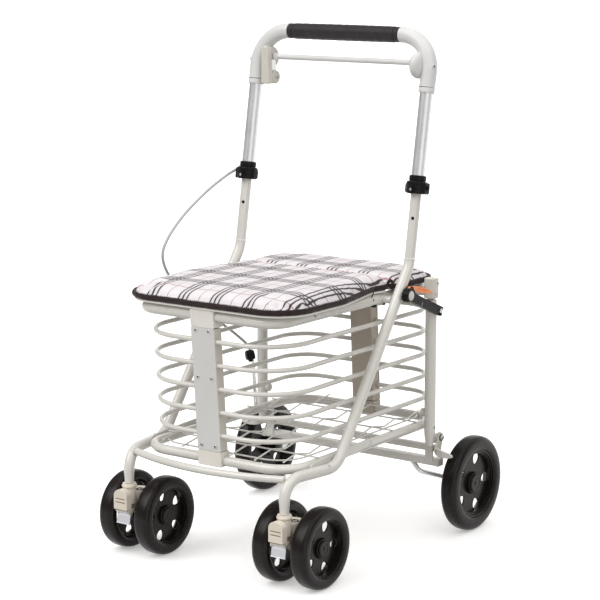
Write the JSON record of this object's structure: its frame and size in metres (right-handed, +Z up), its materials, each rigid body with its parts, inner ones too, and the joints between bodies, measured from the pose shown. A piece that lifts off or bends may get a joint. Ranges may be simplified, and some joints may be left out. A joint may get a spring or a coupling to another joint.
{
  "type": "shopping rollator",
  "caption": "Folding shopping rollator: tubular frame with a round-wire basket, padded seat lid, twin swivel casters in front, large rear wheels and a height-adjustable handle with a brake bar.",
  "frame": {"origin": "on the ground, below the centre of the outline", "axes": "+Z up, -Y forward (the way it is pushed), +Y towards the user behind it, +X to the side without the brake cable"},
  "size_m": [0.5186, 0.625, 0.9485],
  "materials": {
    "frame_white": "ivory gloss paint",
    "handle_white": "white satin",
    "beige": "warm beige satin",
    "silver": "satin anodised",
    "panel_grey": "warm grey satin paint",
    "steel": "zinc plated",
    "black_plastic": "fine moulded texture",
    "black_wheel": "matt black",
    "grip_foam": "foam, dark brown-black",
    "orange": "satin",
    "cable_grey": "smooth sheath",
    "board": "matt board",
    "check_fabric": "woven check, padded"
  },
  "bodies": {
    "frame": {"side_tube_left": "frame_white", "side_tube_right": "frame_white", "column_tube_left": "frame_white", "column_tube_right": "frame_white", "front_crossbar": "frame_white", "gusset_left": "frame_white", "gusset_right": "frame_white", "seat_frame": "frame_white", "floor_frame": "frame_white", "floor_grid": "frame_white", "basket_ring_1": "frame_white", "basket_ring_2": "frame_white", "basket_ring_3": "frame_white", "basket_ring_4": "frame_white", "basket_ring_5": "frame_white", "front_panel_plate": "panel_grey", "front_panel_channel": "beige", "rear_panel_plate": "panel_grey", "rear_panel_channel": "beige", "rear_bracket_left": "beige", "rear_bracket_right": "beige", "brake_cable": "cable_grey", "pivot_pin_left": "panel_grey", "pivot_pin_right": "panel_grey", "rear_flap_pad": "check_fabric"},
    "handle": {"handle_tube": "silver", "elbow_left": "handle_white", "elbow_right": "handle_white", "grip": "grip_foam", "upper_tube_left": "silver", "upper_tube_right": "silver", "collar_left": "black_plastic", "collar_right": "black_plastic", "brake_housing_left": "beige", "brake_boss_right": "handle_white"},
    "brake_bar": {"brake_bar": "handle_white"},
    "seat_lid": {"seat_board": "board", "seat_pad": "check_fabric"},
    "rear_legs": {"post_left": "frame_white", "post_right": "frame_white", "axle_beam": "frame_white", "rear_axle": "steel", "brake_boot": "black_plastic"},
    "rear_brake": {"brake_crossbar": "frame_white"},
    "height_button_left": {"height_button_left": "black_plastic"},
    "lock_lever_left": {"lock_lever_left": "black_plastic"},
    "lock_tab_left": {"lock_tab_left": "orange"},
    "caster_left": {"caster_housing_left": "beige"},
    "caster_lock_left": {"caster_lock_left": "steel"},
    "front_wheel_left_outer": {"front_wheel_left_outer": "black_wheel"},
    "front_wheel_left_inner": {"front_wheel_left_inner": "black_wheel"},
    "rear_wheel_left": {"rear_wheel_left": "black_wheel"},
    "height_button_right": {"height_button_right": "black_plastic"},
    "lock_lever_right": {"lock_lever_right": "black_plastic"},
    "lock_tab_right": {"lock_tab_right": "orange"},
    "caster_right": {"caster_housing_right": "beige"},
    "caster_lock_right": {"caster_lock_right": "steel"},
    "front_wheel_right_outer": {"front_wheel_right_outer": "black_wheel"},
    "front_wheel_right_inner": {"front_wheel_right_inner": "black_wheel"},
    "rear_wheel_right": {"rear_wheel_right": "black_wheel"}
  },
  "joints": [
    {"name": "handle_height", "type": "slide", "parent": "frame", "child": "handle", "axis": [0, 0.1676, 0.9859], "range_m": [-0.055, 0], "deforming": ["brake_cable"]},
    {"name": "brake_bar_squeeze", "type": "hinge", "parent": "handle", "child": "brake_bar", "pos_m": [0, 0.137, 0.846], "axis": [-1, 0, 0], "range_deg": [0, 18], "stiffness_Nm_per_rad": 1.2, "springref_deg": -6.88},
    {"name": "seat_lid_hinge", "type": "hinge", "parent": "frame", "child": "seat_lid", "pos_m": [0, 0.048, 0.502], "axis": [-1, 0, 0], "range_deg": [0, 95]},
    {"name": "rear_fold", "type": "hinge", "parent": "frame", "child": "rear_legs", "pos_m": [0, 0.1474, 0.465], "axis": [-1, 0, 0], "range_deg": [0, 20], "deforming": ["brake_cable"]},
    {"name": "rear_brake_swing", "type": "hinge", "parent": "rear_legs", "child": "rear_brake", "pos_m": [0, 0.168, 0.185], "axis": [1, 0, 0], "range_deg": [0, 3], "stiffness_Nm_per_rad": 1, "springref_deg": -2.86},
    {"name": "height_button_left_press", "type": "slide", "parent": "handle", "child": "height_button_left", "axis": [1, 0, 0], "range_m": [0, 0.0038], "stiffness_N_per_m": 400, "springref_m": -0.002},
    {"name": "lock_lever_left_lift", "type": "hinge", "parent": "frame", "child": "lock_lever_left", "pos_m": [-0.2155, 0.0388, 0.475], "axis": [1, 0, 0], "range_deg": [0, 50]},
    {"name": "lock_tab_left_lift", "type": "hinge", "parent": "lock_lever_left", "child": "lock_tab_left", "pos_m": [-0.215, 0.0445, 0.4862], "axis": [1, 0, 0], "range_deg": [0, 20]},
    {"name": "caster_left_swivel", "type": "hinge", "parent": "frame", "child": "caster_left", "pos_m": [-0.1737, -0.2858, 0.12], "axis": [0, 0, 1], "continuous": true},
    {"name": "caster_lock_left_tip", "type": "hinge", "parent": "caster_left", "child": "caster_lock_left", "pos_m": [-0.1737, -0.2995, 0.0835], "axis": [-1, 0, 0], "range_deg": [0, 25]},
    {"name": "front_wheel_left_outer_roll", "type": "hinge", "parent": "caster_left", "child": "front_wheel_left_outer", "pos_m": [-0.2144, -0.2367, 0.0725], "axis": [1, 0, 0], "continuous": true},
    {"name": "front_wheel_left_inner_roll", "type": "hinge", "parent": "caster_left", "child": "front_wheel_left_inner", "pos_m": [-0.133, -0.2367, 0.0725], "axis": [1, 0, 0], "continuous": true},
    {"name": "rear_wheel_left_roll", "type": "hinge", "parent": "rear_legs", "child": "rear_wheel_left", "pos_m": [-0.2423, 0.222, 0.0905], "axis": [1, 0, 0], "continuous": true},
    {"name": "height_button_right_press", "type": "slide", "parent": "handle", "child": "height_button_right", "axis": [-1, 0, 0], "range_m": [0, 0.0038], "stiffness_N_per_m": 400, "springref_m": -0.002},
    {"name": "lock_lever_right_lift", "type": "hinge", "parent": "frame", "child": "lock_lever_right", "pos_m": [0.2155, 0.0388, 0.475], "axis": [1, 0, 0], "range_deg": [0, 50]},
    {"name": "lock_tab_right_lift", "type": "hinge", "parent": "lock_lever_right", "child": "lock_tab_right", "pos_m": [0.215, 0.0445, 0.4862], "axis": [1, 0, 0], "range_deg": [0, 20]},
    {"name": "caster_right_swivel", "type": "hinge", "parent": "frame", "child": "caster_right", "pos_m": [0.1737, -0.2858, 0.12], "axis": [0, 0, 1], "continuous": true},
    {"name": "caster_lock_right_tip", "type": "hinge", "parent": "caster_right", "child": "caster_lock_right", "pos_m": [0.1737, -0.2995, 0.0835], "axis": [-1, 0, 0], "range_deg": [0, 25]},
    {"name": "front_wheel_right_outer_roll", "type": "hinge", "parent": "caster_right", "child": "front_wheel_right_outer", "pos_m": [0.2144, -0.2367, 0.0725], "axis": [1, 0, 0], "continuous": true},
    {"name": "front_wheel_right_inner_roll", "type": "hinge", "parent": "caster_right", "child": "front_wheel_right_inner", "pos_m": [0.133, -0.2367, 0.0725], "axis": [1, 0, 0], "continuous": true},
    {"name": "rear_wheel_right_roll", "type": "hinge", "parent": "rear_legs", "child": "rear_wheel_right", "pos_m": [0.2423, 0.222, 0.0905], "axis": [1, 0, 0], "continuous": true}
  ],
  "couplings": [
    {"joint": "lock_lever_left_lift", "follows": "rear_fold", "ratio": 2.5},
    {"joint": "lock_lever_right_lift", "follows": "rear_fold", "ratio": 2.5},
    {"joint": "rear_brake_swing", "follows": "brake_bar_squeeze", "ratio": 0.15556}
  ]
}
